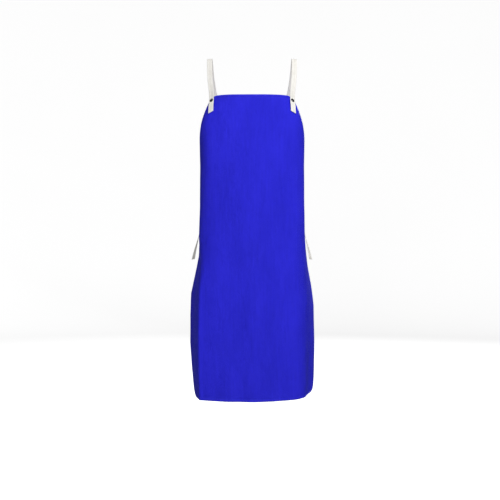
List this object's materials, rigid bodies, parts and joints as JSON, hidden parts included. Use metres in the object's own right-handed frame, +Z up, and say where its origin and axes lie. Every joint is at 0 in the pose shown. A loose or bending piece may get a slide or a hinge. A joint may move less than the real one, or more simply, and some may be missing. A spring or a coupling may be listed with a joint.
{
  "type": "lead apron",
  "caption": "Full-length radiation protection apron with a lead vinyl core, shown as worn, with cross-back webbing straps, press studs and side-release buckles.",
  "frame": {"origin": "midpoint between the undersides of the two straps, where they rest on the wearer's shoulders", "axes": "+Z up, the wearer faces -Y, +X to the wearer's left"},
  "size_m": [0.45, 0.2701, 1.2449],
  "materials": {
    "cover_fabric": "satin coated nylon",
    "binding_fabric": "woven tape, satin",
    "lining_fabric": "coated nylon, low sheen",
    "lead_vinyl": "matt lead-loaded vinyl",
    "webbing": "cotton herringbone webbing",
    "black_metal": "black enamel",
    "spring_wire": "bright wire",
    "black_plastic": "moulded acetal"
  },
  "bodies": {
    "panel": {"front_cover": "cover_fabric", "lead_sheet_front": "lead_vinyl", "lead_sheet_back": "lead_vinyl", "back_cover": "lining_fabric", "edge_binding": "binding_fabric", "left_snap_stud": "black_metal", "left_snap_post": "black_metal", "left_shoulder_strap": "webbing", "left_side_tab": "webbing", "left_buckle_housing": "black_plastic", "right_snap_stud": "black_metal", "right_snap_post": "black_metal", "right_shoulder_strap": "webbing", "right_side_tab": "webbing", "right_buckle_housing": "black_plastic"},
    "left_strap_lower_end": {"left_strap_end": "webbing", "left_snap_cap": "black_metal", "left_snap_socket": "black_metal", "left_snap_spring": "spring_wire"},
    "left_plug_and_tail": {"left_buckle_plug": "black_plastic", "left_strap_tail": "webbing"},
    "left_front_arm": {"left_front_prong": "black_plastic"},
    "left_rear_arm": {"left_rear_prong": "black_plastic"},
    "right_strap_lower_end": {"right_strap_end": "webbing", "right_snap_cap": "black_metal", "right_snap_socket": "black_metal", "right_snap_spring": "spring_wire"},
    "right_plug_and_tail": {"right_buckle_plug": "black_plastic", "right_strap_tail": "webbing"},
    "right_front_arm": {"right_front_prong": "black_plastic"},
    "right_rear_arm": {"right_rear_prong": "black_plastic"}
  },
  "joints": [
    {"name": "left_strap_peel", "type": "hinge", "parent": "panel", "child": "left_strap_lower_end", "pos_m": [0.153, -0.039, -0.086], "axis": [-0.9645, -0.2001, 0.1723], "range_deg": [0, 75]},
    {"name": "left_buckle_release", "type": "slide", "parent": "panel", "child": "left_plug_and_tail", "axis": [-0.1996, 0.5389, 0.8184], "range_m": [0, 0.018]},
    {"name": "left_front_squeeze", "type": "hinge", "parent": "left_plug_and_tail", "child": "left_front_arm", "pos_m": [0.17541, 0.0327, -0.638], "axis": [0.9541, 0.2973, 0.0369], "range_deg": [0, 8]},
    {"name": "left_rear_squeeze", "type": "hinge", "parent": "left_plug_and_tail", "child": "left_rear_arm", "pos_m": [0.17099, 0.04831, -0.64936], "axis": [-0.9541, -0.2973, -0.0369], "range_deg": [0, 8]},
    {"name": "right_strap_peel", "type": "hinge", "parent": "panel", "child": "right_strap_lower_end", "pos_m": [-0.153, -0.039, -0.086], "axis": [-0.9645, 0.2001, -0.1723], "range_deg": [0, 75]},
    {"name": "right_buckle_release", "type": "slide", "parent": "panel", "child": "right_plug_and_tail", "axis": [0.1996, 0.5389, 0.8184], "range_m": [0, 0.018]},
    {"name": "right_front_squeeze", "type": "hinge", "parent": "right_plug_and_tail", "child": "right_front_arm", "pos_m": [-0.17541, 0.0327, -0.638], "axis": [0.9541, -0.2973, -0.0369], "range_deg": [0, 8]},
    {"name": "right_rear_squeeze", "type": "hinge", "parent": "right_plug_and_tail", "child": "right_rear_arm", "pos_m": [-0.17099, 0.04831, -0.64936], "axis": [-0.9541, 0.2973, 0.0369], "range_deg": [0, 8]}
  ],
  "couplings": [
    {"joint": "left_front_squeeze", "follows": "left_buckle_release", "rad_per_m": 6.98},
    {"joint": "left_rear_squeeze", "follows": "left_buckle_release", "rad_per_m": 6.98},
    {"joint": "right_front_squeeze", "follows": "right_buckle_release", "rad_per_m": 6.98},
    {"joint": "right_rear_squeeze", "follows": "right_buckle_release", "rad_per_m": 6.98}
  ]
}
